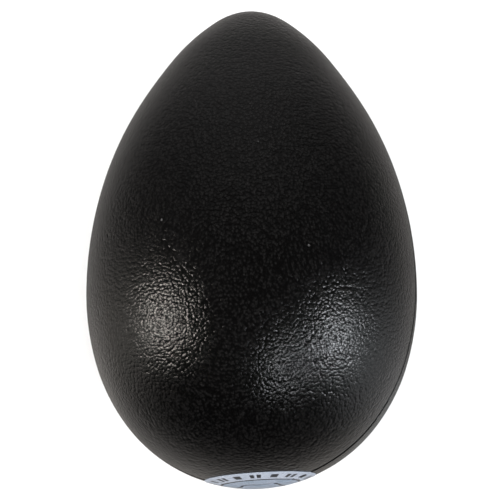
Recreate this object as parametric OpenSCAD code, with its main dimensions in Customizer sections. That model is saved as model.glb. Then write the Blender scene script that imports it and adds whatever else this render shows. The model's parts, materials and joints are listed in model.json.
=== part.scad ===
// Egg shaker: a hollow egg of black plastic, moulded in two shells that are
// cemented together along a lengthwise seam, with loose steel shot sealed inside.
// It lies on its side: +Z is up, +Y points to the narrow tip, and the floor is
// z = 0. Each piece is built in the egg's own frame, whose +Z is the egg's long
// axis towards the tip and whose origin is the centre of the widest circle, and
// lay_down() then sets it on the floor. In that frame -Y is up.

/* [Egg] */
// Widest diameter of the egg, mm: the rest of the outline keeps its proportions
egg_d = 82; // [76:1:90]
// Thickness of the shell walls, mm
wall = 2.4; // [2.2:0.1:2.8]
// How far the tip dips when the egg lies at rest, degrees
rest_tilt = 8; // [6:0.5:10]

/* [Seam] */
// How far the seam is rolled about the long axis from level, degrees
seam_roll = 10; // [0:1:45]
// Width of the parting groove, mm
groove_w = 1.1; // [0.6:0.1:1.4]
// Depth of the parting groove, mm
groove_depth = 0.35; // [0.2:0.05:0.5]
// Height of the tongue that locates the two shells, mm
tongue_h = 1.5; // [1:0.1:2]
// Thickness of the tongue, mm
tongue_t = 0.8; // [0.6:0.1:0.9]

/* [Label] */
// Diameter of the round label on the broad end, measured over its curve, mm
label_d = 28; // [20:0.5:34]
// Thickness of the label, mm
label_t = 0.15; // [0.1:0.05:0.3]
// How far the label sits to the right of the axis, degrees
label_right = 3.2; // [-6:0.1:6]
// How far the label sits below the axis, degrees
label_down = 6; // [-6:0.5:6]

/* [Shot] */
// Diameter of one steel ball, mm
shot_d = 4.5; // [4.4:0.05:4.6]
// Depth of the bed of shot at its deepest point, mm
fill_h = 9; // [8.8:0.1:9.2]
// Running clearance between the shot and the wall, mm
shot_gap = 0.1; // [0.05:0.05:0.15]
// Spacing of the balls in a row, in ball diameters
pitch_in_row = 1.2; // [1.18:0.01:1.22]
// Spacing of the rows along the egg, in ball diameters
pitch_of_rows = 1.03; // [1.02:0.01:1.04]

/* [Hidden] */
$fn = 96;
EPS = 0.01;
// The outline is drawn for a widest radius of 41 and scaled to egg_d
OUTLINE_R = 41;
unit = egg_d / 2 / OUTLINE_R;
// Length of the wedges that trim the arcs: longer than any radius
FAR = 250;
// Tangent arcs from the widest circle to each end: radius, then the outward
// normal (across, along) at which the next arc takes over
TIP_ARCS = [
    [96, 0.96, 0.28],
    [88, 0.8432, 0.5376],
    [148, 0.8, 0.6],
    [53, 0.6, 0.8],
    [20, 0.352, 0.936],
    [14, 0, 1]
];
BROAD_ARCS = [
    [64, 0.96, 0.28],
    [47.5, 0.8, 0.6],
    [38.55, 0, 1]
];

// Arc centres follow from tangency: each lies on the normal shared with the last
function snap(v) = round(v * 1e6) / 1e6;
function arc_r(arcs, i) = arcs[i][0] * unit;
function start_n(arcs, i) = i == 0 ? [1, 0] : [arcs[i - 1][1], arcs[i - 1][2]];
function end_n(arcs, i) = [arcs[i][1], arcs[i][2]];
function raw_centre(arcs, i) =
    i == 0
    ? [egg_d / 2 - arc_r(arcs, 0), 0]
    : raw_centre(arcs, i - 1) + (arc_r(arcs, i - 1) - arc_r(arcs, i)) * start_n(arcs, i);
function centre(arcs, i) = [for (v = raw_centre(arcs, i)) snap(v)];

// Radius from the axis, at height z, of the outline set in by inset
function arc_top(arcs, i, inset) =
    centre(arcs, i)[1] + (arc_r(arcs, i) - inset) * arcs[i][2];
function side_reach(arcs, z, inset, i = 0) =
    z <= arc_top(arcs, i, inset) || i == len(arcs) - 1
    ? centre(arcs, i)[0] + sqrt(max(0, pow(arc_r(arcs, i) - inset, 2) - pow(z - centre(arcs, i)[1], 2)))
    : side_reach(arcs, z, inset, i + 1);
function reach(z, inset) =
    z >= 0 ? side_reach(TIP_ARCS, z, inset) : side_reach(BROAD_ARCS, -z, inset);

// Resting place: the long flank of the tip half touches the floor
flank_r = arc_r(TIP_ARCS, 0);
flank_x = centre(TIP_ARCS, 0)[0];
tip_z = centre(TIP_ARCS, len(TIP_ARCS) - 1)[1];
tip_r = arc_r(TIP_ARCS, len(TIP_ARCS) - 1);
broad_z = centre(BROAD_ARCS, len(BROAD_ARCS) - 1)[1];
broad_r = arc_r(BROAD_ARCS, len(BROAD_ARCS) - 1);
lift = flank_r + flank_x * cos(rest_tilt);
front_y = -broad_z * cos(rest_tilt) - broad_r - label_t;
back_y = tip_z * cos(rest_tilt) + tip_r;
mid_y = (front_y + back_y) / 2;

// Seam joint, as depths from the outer surface
tongue_in = (wall - tongue_t) / 2;
tongue_out = tongue_in + tongue_t;
tongue_play = 0.05;
tongue_root = 0.6;
cement_t = 0.36;
cement_gap = 0.02;
slot_h = tongue_h + cement_t + 2 * cement_gap;

// The bed of shot: rows square to the axis, centred over the lowest point of the
// cavity, with the balls of a row spaced round the wall and a second layer of
// balls resting in the hollows between them
ball_inset = wall + shot_gap + shot_d / 2;
low_z = (flank_r - ball_inset) * sin(rest_tilt);
floor_depth = lift - wall;
row_step = pitch_of_rows * shot_d;
stack = 1.02 * shot_d;
HALF_ROWS = 6;
ROWS = [1 : 2 * HALF_ROWS + 1];
function row_k(row) = row - 1 - HALF_ROWS;
function row_z(row) = low_z + row_k(row) * row_step;
function row_reach(row) = reach(row_z(row), ball_inset);
function step_angle(row) = 2 * asin(pitch_in_row * shot_d / 2 / row_reach(row));
function top_reach(row) =
    row_reach(row) * cos(step_angle(row) / 2)
    - sqrt(pow(stack, 2) - pow(row_reach(row) * sin(step_angle(row) / 2), 2));
// Rows alternate, so that each lies in the gaps of its neighbours
function bed_start(row) = row_k(row) % 2 == 0 ? 0 : 0.5;
function under_fill(radius, angle, row) =
    radius * cos(angle) * cos(rest_tilt) + row_z(row) * sin(rest_tilt) >= floor_depth - fill_h;
MAX_STEP = 8;
function bed_angles(row) = [
    for (i = [-MAX_STEP : MAX_STEP])
        let (angle = (i + bed_start(row)) * step_angle(row))
            if (under_fill(row_reach(row), angle, row)) angle
];
function top_angles(row) = [
    for (i = [-MAX_STEP : MAX_STEP])
        let (angle = (i + 0.5 - bed_start(row)) * step_angle(row))
            if (under_fill(top_reach(row), angle, row)) angle
];
function left_angles(row) = [for (angle = top_angles(row)) if (angle < -EPS) angle];
function right_angles(row) = [for (angle = top_angles(row)) if (angle >= -EPS) angle];
TOP_ROWS = [for (row = ROWS) if (len(left_angles(row)) > 0) row];

// Node names
function two_digits(n) = n < 10 ? str("0", n) : str(n);
function bed_name(row) = str("shot_row_", two_digits(row));
function left_name(row) = str("shot_top_left_", two_digits(row));
function right_name(row) = str("shot_top_right_", two_digits(row));

// Sets a piece built in the egg's frame on the floor
module lay_down() {
    translate([0, -mid_y, lift])
        rotate([-90 - rest_tilt, 0, 0])
            children();
}

// One arc of the outline as a band between two depths, within its own wedge
module arc_band(arcs, i, outer, inner) {
    translate(centre(arcs, i))
        intersection() {
            difference() {
                circle(r = arc_r(arcs, i) - outer);
                circle(r = arc_r(arcs, i) - inner);
            }
            polygon([[0, 0], FAR * start_n(arcs, i), FAR * end_n(arcs, i)]);
        }
}

// The band between two depths on one side of the axis, from end to end
module side_band(outer, inner) {
    for (i = [0 : len(TIP_ARCS) - 1])
        arc_band(TIP_ARCS, i, outer, inner);
    mirror([0, 1])
        for (i = [0 : len(BROAD_ARCS) - 1])
            arc_band(BROAD_ARCS, i, outer, inner);
}

// The same band all round the egg, raised from y = low to y = high
module seam_ring(outer, inner, low, high) {
    translate([0, high, 0])
        rotate([90, 0, 0])
            linear_extrude(high - low) {
                side_band(outer, inner);
                mirror([1, 0])
                    side_band(outer, inner);
            }
}

// Half of the hollow egg, on the +Y side of the seam plane
module half_egg() {
    rotate_extrude(angle = 180)
        side_band(0, wall);
}

module parting_groove() {
    seam_ring(-1, groove_depth, -groove_w / 2, groove_w / 2);
}

module roll_seam() {
    rotate([0, 0, -seam_roll])
        children();
}

// Shell under the seam, with the tongue that stands up into the other shell
module lower_shell() {
    color("#1b1b1d")
        lay_down()
            roll_seam() {
                difference() {
                    half_egg();
                    parting_groove();
                }
                seam_ring(tongue_in, tongue_out, -tongue_h, tongue_root);
            }
}

// Shell over the seam, with the slot that the tongue fits
module upper_shell() {
    color("#232325")
        lay_down()
            roll_seam()
                difference() {
                    rotate([0, 0, 180])
                        half_egg();
                    parting_groove();
                    seam_ring(tongue_in - tongue_play, tongue_out + tongue_play, -slot_h, 1);
                }
}

// Bead of cement in the bottom of the slot
module seam_cement() {
    color("#8d8a80")
        lay_down()
            roll_seam()
                seam_ring(
                    tongue_in,
                    tongue_out,
                    -tongue_h - cement_gap - cement_t,
                    -tongue_h - cement_gap
                );
}

// Round label that follows the ball of the broad end
module label() {
    half_angle = label_d / 2 / broad_r * 180 / PI;
    color("#aeb8cb")
        lay_down()
            translate([0, 0, -broad_z])
                rotate([180 + label_down, -label_right, 0])
                    rotate_extrude()
                        intersection() {
                            difference() {
                                circle(r = broad_r + label_t);
                                circle(r = broad_r);
                            }
                            polygon([[0, 0], FAR * [sin(half_angle), cos(half_angle)], [0, FAR]]);
                        }
}

// Steel balls in one row, at angles round the axis from its lowest line
module balls(row, radius, angles) {
    color("#b9bcc0")
        lay_down()
            for (angle = angles)
                translate([radius * sin(angle), radius * cos(angle), row_z(row)])
                    sphere(d = shot_d);
}

upper_shell();
lower_shell();
seam_cement();
label();
for (row = ROWS)
    balls(row, row_reach(row), bed_angles(row));
for (row = TOP_ROWS)
    balls(row, top_reach(row), left_angles(row));
for (row = TOP_ROWS)
    balls(row, top_reach(row), right_angles(row));
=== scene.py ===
"""Looks for the egg shaker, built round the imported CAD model.

The two shells and the label are rebuilt as fine meshes in the places of their
CAD solids: pebbled outside, smooth inside, with the parting groove, tongue and
slot along the seam. The shot and the cement stay CAD nodes with better
materials. All lengths are in metres, in the CAD model's own frame.
"""

import json
import math

import bmesh
import bpy
import numpy as np
from mathutils import Matrix, Vector, noise


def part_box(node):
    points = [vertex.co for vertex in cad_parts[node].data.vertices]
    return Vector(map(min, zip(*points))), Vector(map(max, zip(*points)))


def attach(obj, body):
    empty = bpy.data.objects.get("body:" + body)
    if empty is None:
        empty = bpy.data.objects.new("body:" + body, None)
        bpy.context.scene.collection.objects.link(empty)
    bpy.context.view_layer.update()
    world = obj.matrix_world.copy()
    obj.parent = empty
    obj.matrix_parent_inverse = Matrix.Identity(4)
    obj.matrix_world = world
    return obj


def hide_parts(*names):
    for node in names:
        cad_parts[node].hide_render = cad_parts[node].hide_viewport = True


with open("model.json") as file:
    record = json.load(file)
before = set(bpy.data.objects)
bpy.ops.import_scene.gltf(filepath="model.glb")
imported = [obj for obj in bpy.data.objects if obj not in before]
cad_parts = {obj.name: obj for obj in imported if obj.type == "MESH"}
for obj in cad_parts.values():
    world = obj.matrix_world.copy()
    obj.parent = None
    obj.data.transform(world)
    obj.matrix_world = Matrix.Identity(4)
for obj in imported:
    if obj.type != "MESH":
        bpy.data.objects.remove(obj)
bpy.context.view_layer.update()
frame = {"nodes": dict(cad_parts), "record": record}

MM = 0.001

# ---------------------------------------------------------------- the egg

SEAM_ROLL = math.radians(10)
WALL = 2.4 * MM
LABEL_DIAMETER = 28 * MM
LABEL_THICKNESS = 0.14 * MM
LABEL_RIGHT = math.radians(3.2)
LABEL_DOWN = math.radians(6)

# Tangent arcs of the outline from the widest circle to each end, for a widest
# radius of 41: radius, then the outward normal (across, along) at which it ends
OUTLINE_R = 41
TIP_ARCS = [
    (96, 0.96, 0.28),
    (88, 0.8432, 0.5376),
    (148, 0.8, 0.6),
    (53, 0.6, 0.8),
    (20, 0.352, 0.936),
    (14, 0, 1),
]
BROAD_ARCS = [(64, 0.96, 0.28), (47.5, 0.8, 0.6), (38.55, 0, 1)]

grip = next(m for m in frame["record"]["mounts"] if m["name"] == "palm_grip")
CENTRE = np.array(grip["pos_m"])
AXIS = np.array(grip["axis"]) / np.linalg.norm(grip["axis"])
SIDE = np.array((1.0, 0.0, 0.0))
UP = np.cross(SIDE, AXIS)
SEAM_SIDE = math.cos(SEAM_ROLL) * SIDE + math.sin(SEAM_ROLL) * UP
SEAM_UP = np.cross(SEAM_SIDE, AXIS)

# The two shells reach the widest circle on opposite sides
left_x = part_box("upper_shell")[0].x
right_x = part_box("lower_shell")[1].x
UNIT = (right_x - left_x) / 2 / OUTLINE_R


def tangent_arcs(arcs):
    """Each arc as (start angle, end angle, radius, centre).

    An angle is that of the normal above the widest circle.
    """
    out = []
    centre = np.array((OUTLINE_R - arcs[0][0], 0.0))
    start = 0.0
    for i, (radius, across, along) in enumerate(arcs):
        end = math.atan2(along, across)
        out.append((start, end, radius * UNIT, centre * UNIT))
        if i + 1 < len(arcs):
            centre = centre + (radius - arcs[i + 1][0]) * np.array((across, along))
        start = end
    return out


# Slack where two arcs meet, so that no angle falls between them
ANGLE_SLACK = 1e-12


class Outline:
    """The egg's half outline, by the distance along it from the tip."""

    def __init__(self):
        tip = tangent_arcs(TIP_ARCS)
        broad = tangent_arcs(BROAD_ARCS)
        self.arcs = [(a1, a0, r, c) for a0, a1, r, c in reversed(tip)]
        self.arcs += [(-a0, -a1, r, c * (1, -1)) for a0, a1, r, c in broad]
        lengths = [(a0 - a1) * r for a0, a1, r, _ in self.arcs]
        self.knots = np.concatenate(([0], np.cumsum(lengths)))
        self.angles = np.array([self.arcs[0][0]] + [a[1] for a in self.arcs])
        self.length = self.knots[-1]
        self.broad_radius = self.arcs[-1][2]
        self.broad_centre = self.arcs[-1][3][1]

    def normal_angle(self, distance):
        return np.interp(distance, self.knots, self.angles)

    def nearest(self, radius, height):
        """The outline's nearest point to each place close to it."""
        near = np.stack((radius, height))
        for a0, a1, r, c in self.arcs:
            angle = np.arctan2(height - c[1], radius - c[0])
            here = (angle <= a0) & (angle >= a1)
            near[0][here] = c[0] + r * np.cos(angle[here])
            near[1][here] = c[1] + r * np.sin(angle[here])
        return near

    def point(self, angle):
        """Radius from the axis and height along it where the normal has this angle."""
        radius = np.zeros_like(angle)
        height = np.zeros_like(angle)
        for a0, a1, r, c in self.arcs:
            here = (angle <= a0 + ANGLE_SLACK) & (angle >= a1 - ANGLE_SLACK)
            radius[here] = c[0] + r * np.cos(angle[here])
            height[here] = c[1] + r * np.sin(angle[here])
        return radius, height


OUTLINE = Outline()

# ---------------------------------------------------------------- mesh helpers


def disc_grid(n):
    """A square grid, n faces a side, spread evenly over the unit disc.

    Gives the radius and angle of its points, its faces and its rim.
    """
    a = np.linspace(-1, 1, n + 1)
    x, y = [g.ravel() for g in np.meshgrid(a, a, indexing="ij")]
    wide = np.abs(x) > np.abs(y)
    radius = np.where(wide, x, y)
    safe = np.where(radius == 0, 1, radius)
    angle = np.where(wide, math.pi / 4 * y / safe, math.pi / 2 - math.pi / 4 * x / safe)
    i, j = [g.ravel() for g in np.meshgrid(np.arange(n), np.arange(n), indexing="ij")]
    k = i * (n + 1) + j
    faces = np.stack((k, k + n + 1, k + n + 2, k + 1), axis=1)
    side = np.arange(n)
    rim = np.concatenate(
        (side * (n + 1), n * (n + 1) + side, (n - side) * (n + 1) + n, n - side)
    )
    flip = radius < 0
    return np.abs(radius), angle + np.pi * flip, faces, rim


def make_object(name, points, faces):
    mesh = bpy.data.meshes.new(name)
    mesh.from_pydata([tuple(p) for p in points], [], [tuple(int(i) for i in f) for f in faces])
    mesh.validate()
    mesh.update()
    mesh.polygons.foreach_set("use_smooth", [True] * len(mesh.polygons))
    obj = bpy.data.objects.new(name, mesh)
    bpy.context.scene.collection.objects.link(obj)
    return obj


def loop_band(first, second):
    """Quads between two closed loops of the same length."""
    return np.stack((first, np.roll(first, -1), np.roll(second, -1), second), axis=1)


# ---------------------------------------------------------------- shells

OUTER_GRID = 320
INNER_GRID = 80
GRAIN_PITCH = 0.9 * MM
GRAIN_DEPTH = 0.014 * MM
GRAIN_FADE = 1.2 * MM
# Width of the valleys between pebbles, in pitches
VALLEY = 0.45
GROOVE_HALF = 0.55 * MM
SHOULDER = 0.15 * MM
SHOULDER_SPREAD = 2.5 * MM
GROOVE_DEPTH = 0.35 * MM
TONGUE_IN = 0.8 * MM
TONGUE_OUT = 1.6 * MM
TONGUE_H = 1.5 * MM
TONGUE_ROUND = 0.08 * MM
SLOT_PLAY = 0.05 * MM
SLOT_H = 1.9 * MM
# Edges that turn by more than this are shaded sharp
SHARP_TURN = math.radians(35)

# Sections of the seam faces, from outside to inside, as (depth, height above the
# seam plane on the shell's own side)
OUTER_EDGE = [
    (0.03 * MM, GROOVE_HALF + 0.06 * MM),
    (0.1 * MM, GROOVE_HALF),
    (GROOVE_DEPTH, GROOVE_HALF),
    (GROOVE_DEPTH, 0),
]
TONGUE = [
    (TONGUE_IN, 0),
    (TONGUE_IN, -TONGUE_H + TONGUE_ROUND),
    (TONGUE_IN + TONGUE_ROUND, -TONGUE_H),
    (TONGUE_OUT - TONGUE_ROUND, -TONGUE_H),
    (TONGUE_OUT, -TONGUE_H + TONGUE_ROUND),
    (TONGUE_OUT, 0),
]
SLOT = [
    (TONGUE_IN - SLOT_PLAY, 0),
    (TONGUE_IN - SLOT_PLAY, SLOT_H),
    (TONGUE_OUT + SLOT_PLAY, SLOT_H),
    (TONGUE_OUT + SLOT_PLAY, 0),
]


def grain_depth(points):
    """How deep the pebbled grain is at each point: flat-topped pebbles with valleys between."""
    depth = np.zeros(len(points))
    for i, p in enumerate(points / GRAIN_PITCH):
        near = noise.voronoi(Vector(p))[0]
        gap = min(1.0, (near[1] - near[0]) / VALLEY)
        depth[i] = 1 - gap * gap * (3 - 2 * gap)
    return depth


class HalfEgg:
    """Places points on one half of the egg, by direction from the middle of its dome."""

    def __init__(self, side):
        self.up = SEAM_UP * side
        self.side = SEAM_SIDE

    def surface(self, radius, angle):
        """Positions and normals for points of the unit disc, its rim being the seam."""
        dome = np.arccos(1 - radius**2)
        along = np.sin(dome) * np.sin(angle)
        across = np.sin(dome) * np.cos(angle)
        above = np.maximum(np.cos(dome), 0)
        distance = np.arccos(np.clip(along, -1, 1)) / np.pi * OUTLINE.length
        normal_angle = OUTLINE.normal_angle(distance)
        out, height = OUTLINE.point(normal_angle)
        turn = np.arctan2(above, across)
        ring = np.cos(turn)[:, None] * self.side + np.sin(turn)[:, None] * self.up
        normals = np.cos(normal_angle)[:, None] * ring + np.sin(normal_angle)[:, None] * AXIS
        return CENTRE + out[:, None] * ring + height[:, None] * AXIS, normals


def clear_groove(points, up):
    """Slides points on the egg away from the seam, so that the rim stops at the groove's shoulder."""
    above = (points - CENTRE) @ up
    edge = GROOVE_HALF + SHOULDER
    moved = points - CENTRE + (edge * np.exp(-above / SHOULDER_SPREAD))[:, None] * up
    along = moved @ AXIS
    outwards = moved - along[:, None] * AXIS
    reach = np.linalg.norm(outwards, axis=1)
    near_reach, near_along = OUTLINE.nearest(reach, along)
    return CENTRE + outwards * (near_reach / reach)[:, None] + near_along[:, None] * AXIS


def make_shell(name, side, seam_section):
    half = HalfEgg(side)
    radius, angle, faces, rim = disc_grid(OUTER_GRID)
    points, normals = half.surface(radius, angle)
    seam_points, seam_normals = points[rim].copy(), normals[rim].copy()
    points = clear_groove(points, half.up)
    above = (points - CENTRE) @ half.up
    fade = np.clip((above - GROOVE_HALF - SHOULDER) / GRAIN_FADE, 0, 1)
    points -= (grain_depth(points) * fade * GRAIN_DEPTH)[:, None] * normals

    parts = [points]
    all_faces = [faces]
    loop = rim
    count = len(points)
    for depth, height in OUTER_EDGE + seam_section:
        parts.append(seam_points - depth * seam_normals + height * half.up)
        ring = np.arange(count, count + len(rim))
        all_faces.append(loop_band(loop, ring)[:, ::-1])
        loop, count = ring, count + len(rim)

    in_radius, in_angle, in_faces, in_rim = disc_grid(INNER_GRID)
    inner, inner_normals = half.surface(in_radius, in_angle)
    parts.append(inner - WALL * inner_normals)
    all_faces.append(in_faces[:, ::-1] + count)
    in_loop = in_rim + count
    step = OUTER_GRID // INNER_GRID
    closing = []
    for k in range(len(in_loop)):
        fan = [loop[(k * step + j) % len(loop)] for j in range(step + 1)]
        closing.append(fan + [in_loop[(k + 1) % len(in_loop)], in_loop[k]])
    faces = [f for block in all_faces for f in block] + closing
    obj = make_object(name, np.concatenate(parts), faces)
    face_outwards(obj)
    return obj


def face_outwards(obj):
    """Turns every face outwards, and keeps sharp edges sharp."""
    mesh = bmesh.new()
    mesh.from_mesh(obj.data)
    bmesh.ops.recalc_face_normals(mesh, faces=mesh.faces)
    for edge in mesh.edges:
        edge.smooth = not edge.is_manifold or edge.calc_face_angle(0) < SHARP_TURN
    mesh.to_mesh(obj.data)
    mesh.free()


# ---------------------------------------------------------------- label

LABEL_GRID = 150
LABEL_GAP = 0.02 * MM
LABEL_EDGE = 0.06 * MM
CREASE_DEPTH = 0.15 * MM
CREASE_HALF = 0.35 * MM


def label_frame():
    """The label's centre of curvature and its axes: across, up and outwards."""
    outwards = -AXIS + math.tan(LABEL_RIGHT) * SIDE - math.tan(LABEL_DOWN) * UP
    outwards /= np.linalg.norm(outwards)
    across = SIDE - (SIDE @ outwards) * outwards
    across /= np.linalg.norm(across)
    return CENTRE + OUTLINE.broad_centre * AXIS, across, np.cross(outwards, across), outwards


def make_label():
    """A disc that follows the broad end, with a crease where it bridges the parting groove."""
    middle, across, upwards, outwards = label_frame()
    radius, angle, faces, rim = disc_grid(LABEL_GRID)
    half_angle = LABEL_DIAMETER / 2 / OUTLINE.broad_radius

    def cap(share, height):
        spread = half_angle * share
        ring = np.cos(angle)[:, None] * across + np.sin(angle)[:, None] * upwards
        normals = np.sin(spread)[:, None] * ring + np.cos(spread)[:, None] * outwards
        return middle + (OUTLINE.broad_radius + height)[:, None] * normals

    top_height = np.full(len(radius), LABEL_THICKNESS)
    rim_distance = (1 - radius) * LABEL_DIAMETER / 2
    top_height -= LABEL_EDGE * np.clip(1 - rim_distance / (2 * LABEL_EDGE), 0, 1) ** 2
    from_seam = (cap(radius, top_height) - CENTRE) @ SEAM_UP
    crease = CREASE_DEPTH * np.exp(-((from_seam / CREASE_HALF) ** 2))
    top = cap(radius, top_height - crease)
    bottom = cap(radius, LABEL_GAP - crease)
    under = faces[:, ::-1] + len(top)
    edge = loop_band(rim, rim + len(top))[:, ::-1]
    faces = list(faces) + list(under) + list(edge)
    obj = make_object("label_face", np.concatenate((top, bottom)), faces)
    face_outwards(obj)
    for name, values in (("label_radius", radius), ("label_turn", angle / (2 * math.pi))):
        layer = obj.data.attributes.new(name, "FLOAT", "POINT")
        layer.data.foreach_set("value", np.concatenate((values, values)))
    return obj


# ---------------------------------------------------------------- materials


class Nodes:
    """A small helper for building a material's node tree."""

    def __init__(self, name):
        self.material = bpy.data.materials.new(name)
        self.material.use_nodes = True
        self.tree = self.material.node_tree
        self.shader = self.tree.nodes["Principled BSDF"]
        self.coords = None

    def add(self, kind, **settings):
        node = self.tree.nodes.new(kind)
        for key, value in settings.items():
            setattr(node, key, value)
        return node

    def link(self, source, target):
        self.tree.links.new(source, target)

    def set(self, socket, value):
        self.shader.inputs[socket].default_value = value

    def object_coords(self):
        if self.coords is None:
            self.coords = self.add("ShaderNodeTexCoord").outputs["Object"]
        return self.coords

    def noise(self, size, detail=2.0, roughness=0.5):
        node = self.add("ShaderNodeTexNoise")
        node.inputs["Scale"].default_value = 1 / size
        node.inputs["Detail"].default_value = detail
        node.inputs["Roughness"].default_value = roughness
        self.link(self.object_coords(), node.inputs["Vector"])
        return node.outputs["Fac"]

    def cells(self, size, feature="F1", smoothness=0.6):
        node = self.add("ShaderNodeTexVoronoi", feature=feature)
        node.inputs["Scale"].default_value = 1 / size
        if feature == "SMOOTH_F1":
            node.inputs["Smoothness"].default_value = smoothness
        self.link(self.object_coords(), node.inputs["Vector"])
        return node.outputs["Distance"]

    def math(self, operation, a, b=0.0):
        node = self.add("ShaderNodeMath", operation=operation)
        for socket, value in zip(node.inputs, (a, b)):
            if isinstance(value, (int, float)):
                socket.default_value = value
            else:
                self.link(value, socket)
        return node.outputs[0]

    def ramp(self, source, low, high, start=0.0, end=1.0):
        node = self.add("ShaderNodeMapRange")
        node.interpolation_type = "SMOOTHSTEP"
        self.link(source, node.inputs["Value"])
        node.inputs["From Min"].default_value = low
        node.inputs["From Max"].default_value = high
        node.inputs["To Min"].default_value = start
        node.inputs["To Max"].default_value = end
        return node.outputs["Result"]

    def mix(self, share, first, second):
        node = self.add("ShaderNodeMix", data_type="RGBA")
        self.link(share, node.inputs[0])
        for socket, value in ((node.inputs[6], first), (node.inputs[7], second)):
            if isinstance(value, tuple):
                socket.default_value = (*value, 1)
            else:
                self.link(value, socket)
        return node.outputs[2]

    def bump(self, height, distance):
        node = self.add("ShaderNodeBump")
        node.inputs["Strength"].default_value = 1.0
        node.inputs["Distance"].default_value = distance
        self.link(height, node.inputs["Height"])
        return node.outputs["Normal"]


def shell_plastic():
    """Near-black satin plastic with a pebbled mould grain, faint mottling and a few pale scuffs, and painted
    shade on the grain: its colour is darker in the valleys between pebbles and lighter on their tops.
    """
    n = Nodes("shell_plastic")
    grain = n.cells(0.74 * MM, "SMOOTH_F1", 0.25)
    pebbles = n.math("MULTIPLY", n.math("MULTIPLY", grain, grain), -1.3)
    fine = n.noise(0.34 * MM, 2.0, 0.55)
    height = n.math("ADD", pebbles, n.math("MULTIPLY", fine, 0.65))
    n.link(n.bump(height, 0.095 * MM), n.shader.inputs["Normal"])

    mottle = n.noise(9 * MM, 3.0, 0.6)
    specks = n.ramp(n.cells(7 * MM), 0.055, 0.03)
    speck_zone = n.ramp(n.noise(16 * MM, 1.0), 0.52, 0.6)
    scuffs = n.math("MULTIPLY", specks, speck_zone)
    # Painted shade and highlight: the base colour is darker in the valleys between pebbles and lighter on
    # their tops, standing in for the grain's light and shade.
    painted_grain_shade = n.ramp(grain, 0.55, 0.15)
    base = n.mix(painted_grain_shade, (0.0010, 0.0009, 0.0009), (0.0068, 0.0065, 0.0064))
    n.link(n.mix(n.math("MULTIPLY", scuffs, 0.5), base, (0.12, 0.12, 0.12)), n.shader.inputs["Base Color"])
    n.link(n.ramp(mottle, 0.3, 0.7, 0.15, 0.2), n.shader.inputs["Roughness"])
    return n.material


def label_print():
    """Pale vinyl with a dark ring round a steel-blue centre, and a ring of plain dots and bars outside it."""
    n = Nodes("label_print")
    radius = n.add("ShaderNodeAttribute", attribute_name="label_radius").outputs["Fac"]
    turn = n.add("ShaderNodeAttribute", attribute_name="label_turn").outputs["Fac"]

    def within(value, middle, half, soft):
        away = n.math("ABSOLUTE", n.math("SUBTRACT", value, middle))
        return n.ramp(away, half + soft, half - soft)

    def both(first, second):
        return n.math("MULTIPLY", first, second)

    pairs_round = 8
    place = n.math("FRACT", n.math("ADD", n.math("MULTIPLY", turn, pairs_round), 0.62))
    tall = within(radius, 0.85, 0.072, 0.01)
    dot = both(within(radius, 0.85, 0.066, 0.012), within(place, 0.25, 0.1, 0.014))
    bars = [both(tall, within(place, at, 0.056, 0.01)) for at in (0.665, 0.845)]
    ring = within(radius, 0.69, 0.021, 0.006)
    wave = n.math("MULTIPLY", n.math("SINE", n.math("MULTIPLY", turn, 2 * math.pi * 5)), 0.03)
    crest = within(n.math("ADD", radius, wave), 0.40, 0.022, 0.01)

    tone = n.noise(3 * MM, 2.0)
    paper = n.mix(tone, (0.26, 0.30, 0.37), (0.36, 0.39, 0.45))
    steel = n.mix(n.noise(4 * MM, 2.0), (0.14, 0.20, 0.26), (0.26, 0.29, 0.37))
    ink = (0.006, 0.008, 0.014)
    colour = n.mix(n.ramp(radius, 0.695, 0.685), paper, steel)
    for part in [dot, ring, crest] + bars:
        colour = n.mix(part, colour, ink)
    n.link(colour, n.shader.inputs["Base Color"])
    n.link(n.ramp(tone, 0.3, 0.7, 0.3, 0.42), n.shader.inputs["Roughness"])
    n.link(n.bump(n.noise(0.5 * MM, 2.0), 0.006 * MM), n.shader.inputs["Normal"])
    return n.material


def shot_steel():
    """Bright steel with light scuffing."""
    n = Nodes("shot_steel")
    wear = n.noise(0.9 * MM, 4.0, 0.6)
    n.link(n.mix(wear, (0.50, 0.50, 0.51), (0.66, 0.66, 0.67)), n.shader.inputs["Base Color"])
    n.link(n.ramp(wear, 0.3, 0.7, 0.14, 0.32), n.shader.inputs["Roughness"])
    n.link(n.bump(n.noise(0.25 * MM, 3.0), 0.004 * MM), n.shader.inputs["Normal"])
    n.set("Metallic", 1.0)
    return n.material


def set_cement():
    """Dull, slightly lumpy set cement."""
    n = Nodes("cement")
    lumps = n.noise(0.7 * MM, 3.0)
    n.link(n.mix(lumps, (0.34, 0.32, 0.27), (0.50, 0.47, 0.41)), n.shader.inputs["Base Color"])
    n.link(n.ramp(lumps, 0.3, 0.7, 0.55, 0.7), n.shader.inputs["Roughness"])
    n.link(n.bump(lumps, 0.05 * MM), n.shader.inputs["Normal"])
    return n.material


def floor_card():
    """Plain white card."""
    n = Nodes("floor_card")
    tone = n.noise(40 * MM, 2.0)
    n.link(n.mix(tone, (0.88, 0.88, 0.88), (0.9, 0.9, 0.9)), n.shader.inputs["Base Color"])
    n.set("Roughness", 0.9)
    n.set("Specular IOR Level", 0.1)
    return n.material


# ---------------------------------------------------------------- the pieces

plastic = shell_plastic()
for shell_name, shell_side, section, cad_node in (
    ("upper_shell_skin", 1, SLOT, "upper_shell"),
    ("lower_shell_skin", -1, TONGUE, "lower_shell"),
):
    shell = make_shell(shell_name, shell_side, section)
    shell.data.materials.append(plastic)
    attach(shell, "egg")
    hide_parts(cad_node)

label_face = make_label()
label_face.data.materials.append(label_print())
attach(label_face, "egg")
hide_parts("label")

steel = shot_steel()
for node_name, node_object in frame["nodes"].items():
    if node_name.startswith("shot_"):
        node_object.data.materials.clear()
        node_object.data.materials.append(steel)
cement_object = frame["nodes"]["seam_cement"]
cement_object.data.materials.clear()
cement_object.data.materials.append(set_cement())

# ---------------------------------------------------------------- floor, light, camera

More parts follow.
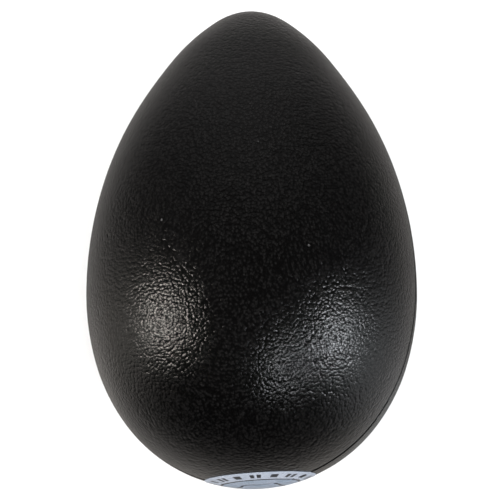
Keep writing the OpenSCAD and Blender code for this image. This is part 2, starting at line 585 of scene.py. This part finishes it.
FLOOR_RADIUS = 1.6
BACKDROP_RADIUS = 2.4
BACKDROP_TOP = 1.8
FLOOR_DROP = 0.05 * MM
BACKDROP_STEPS = 96
COVE_STEPS = 12


def make_backdrop():
    """A round floor that curves up into a low wall, so that every view has a pale ground."""
    cove = BACKDROP_RADIUS - FLOOR_RADIUS
    section = [(FLOOR_RADIUS, 0.0)]
    for k in range(1, COVE_STEPS + 1):
        bend = math.pi / 2 * k / COVE_STEPS
        section.append((FLOOR_RADIUS + cove * math.sin(bend), cove * (1 - math.cos(bend))))
    section.append((BACKDROP_RADIUS, BACKDROP_TOP))
    points = []
    for radius, height in section:
        for k in range(BACKDROP_STEPS):
            a = 2 * math.pi * k / BACKDROP_STEPS
            points.append((radius * math.cos(a), radius * math.sin(a), height - FLOOR_DROP))
    faces = [tuple(range(BACKDROP_STEPS))]
    ring = np.arange(BACKDROP_STEPS)
    for k in range(len(section) - 1):
        faces += list(loop_band(ring + (k + 1) * BACKDROP_STEPS, ring + k * BACKDROP_STEPS))
    backdrop = make_object("floor", points, faces)
    backdrop.visible_glossy = False
    return backdrop


floor = make_backdrop()
floor.data.materials.append(floor_card())


def soft_light(name, azimuth, elevation, distance, size, power, colour, in_gloss=True):
    """A soft box (width, height) aimed at the egg, azimuth being measured from +Y towards +X."""
    a, e = math.radians(azimuth), math.radians(elevation)
    towards = Vector((math.sin(a) * math.cos(e), math.cos(a) * math.cos(e), math.sin(e)))
    data = bpy.data.lights.new(name, "AREA")
    data.shape = "ELLIPSE"
    data.size, data.size_y = size
    data.energy = power
    data.color = colour
    light = bpy.data.objects.new(name, data)
    light.location = Vector(CENTRE) + towards * distance
    light.rotation_euler = towards.to_track_quat("Z", "Y").to_euler()
    light.visible_glossy = in_gloss
    bpy.context.scene.collection.objects.link(light)


WARM = (1.0, 0.93, 0.86)
COOL = (0.92, 0.95, 1.0)
BOX_DISTANCE = 0.75
soft_light("left_box", -97, 27, BOX_DISTANCE, (0.07, 0.34), 1.92, WARM)
soft_light("right_box", 107, 26, BOX_DISTANCE, (0.08, 0.32), 1.84, COOL)
soft_light("right_corner_box", 124, 44, BOX_DISTANCE, (0.1, 0.1), 0.1, COOL)
soft_light("front_right_box", 146, 48, BOX_DISTANCE, (0.1, 0.13), 0.72, COOL)
soft_light("sky", 0, 89, 1.8, (3.2, 3.2), 70.0, (1.0, 1.0, 1.0), in_gloss=False)


def studio_world():
    """Dim overhead and paler low down.

    Each side box glows on the table under it, and a pale wall stands past the tip.
    """
    world = bpy.data.worlds.new("studio")
    world.use_nodes = True
    tree = world.node_tree

    def add(kind, inputs, **settings):
        node = tree.nodes.new(kind)
        for key, value in settings.items():
            setattr(node, key, value)
        for socket, value in zip(node.inputs, inputs):
            if isinstance(value, bpy.types.NodeSocket):
                tree.links.new(value, socket)
            elif value is not None:
                socket.default_value = value
        return node

    direction = tree.nodes.new("ShaderNodeTexCoord").outputs["Generated"]
    height = add("ShaderNodeSeparateXYZ", [direction]).outputs["Z"]
    heading = add("ShaderNodeVectorMath", [direction, (1, 1, 0)], operation="MULTIPLY").outputs[0]
    heading = add("ShaderNodeVectorMath", [heading], operation="NORMALIZE").outputs[0]

    def by_height(stops):
        share = add("ShaderNodeMapRange", [height, -1.0, 1.0]).outputs["Result"]
        node = add("ShaderNodeValToRGB", [share])
        ramp = node.color_ramp
        while len(ramp.elements) < len(stops):
            ramp.elements.new(0.5)
        for element, (at, level) in zip(ramp.elements, stops):
            element.position = (at + 1) / 2
            element.color = (level, level, level, 1)
        return node.outputs["Color"]

    def fan(azimuth, tightness, colour, stops):
        """Light that fades sideways from one heading."""
        a = math.radians(azimuth)
        facing = add(
            "ShaderNodeVectorMath", [heading, (math.sin(a), math.cos(a), 0)], operation="DOT_PRODUCT"
        ).outputs["Value"]
        ahead = add("ShaderNodeMath", [facing, 0.0], operation="MAXIMUM").outputs[0]
        spread = add("ShaderNodeMath", [ahead, tightness], operation="POWER").outputs[0]
        level = add("ShaderNodeVectorMath", [by_height(stops), colour], operation="MULTIPLY").outputs[0]
        scaled = add("ShaderNodeVectorMath", [level], operation="SCALE")
        tree.links.new(spread, scaled.inputs["Scale"])
        return scaled.outputs[0]

    table_glow = [(-1, 0.13), (-0.9, 0.33), (-0.7, 0.25), (-0.45, 0.11), (-0.2, 0.03), (0.1, 0.0), (1, 0.03)]
    table_tint = (1.0, 0.96, 0.92)
    light = add("ShaderNodeVectorMath", [by_height(table_glow), table_tint], operation="MULTIPLY").outputs[0]
    wall_glow = [(-1, 0.1), (-0.6, 0.14), (-0.2, 0.27), (0.1, 0.24), (0.6, 0.18), (0.9, 0.0)]
    wall_tint = (1.0, 0.98, 0.98)
    for part in (
        fan(-96, 20, WARM, [(-1, 0.25), (-0.6, 0.33), (-0.3, 0.66), (0, 0.75), (0.6, 0.0)]),
        fan(107, 18, COOL, [(-1, 0.15), (-0.6, 0.34), (-0.3, 0.75), (0, 0.95), (0.6, 0.0)]),
        fan(180, 2, WARM, [(-1, 0.25), (-0.7, 0.12), (-0.3, 0.0), (1, 0.0)]),
        fan(-3, 3, wall_tint, wall_glow),
    ):
        light = add("ShaderNodeVectorMath", [light, part], operation="ADD").outputs[0]
    tree.links.new(light, tree.nodes["Background"].inputs["Color"])
    bpy.context.scene.world = world


studio_world()
bpy.context.scene.view_settings.view_transform = "Standard"

# The camera looks down on the egg, a little from its broad end
CAMERA_TILT = math.radians(7)
CAMERA_DISTANCE = 0.9
CAMERA_ROLL = math.radians(-0.13)
AIM_BACK = 10.75 * MM
AIM_LEFT = 0.41 * MM
PIXELS_PER_METRE = 4030
FRAME_WIDTH = 500

view_out = Vector((0, -math.sin(CAMERA_TILT), math.cos(CAMERA_TILT)))
view_up = Vector((0, math.cos(CAMERA_TILT), math.sin(CAMERA_TILT)))
turn = Matrix.Rotation(CAMERA_ROLL, 3, view_out)
view_up = turn @ view_up
view_right = view_up.cross(view_out)
camera_data = bpy.data.cameras.new("camera")
camera_data.sensor_width = 36
camera_data.lens = PIXELS_PER_METRE * CAMERA_DISTANCE / FRAME_WIDTH * camera_data.sensor_width
camera_data.clip_start = 0.05
camera_data.clip_end = 20
camera = bpy.data.objects.new("camera", camera_data)
place = Vector(CENTRE) + view_up * AIM_BACK - view_right * AIM_LEFT + view_out * CAMERA_DISTANCE
facing = Matrix((view_right, view_up, view_out)).transposed().to_4x4()
camera.matrix_world = Matrix.Translation(place) @ facing
bpy.context.scene.collection.objects.link(camera)
bpy.context.scene.camera = camera
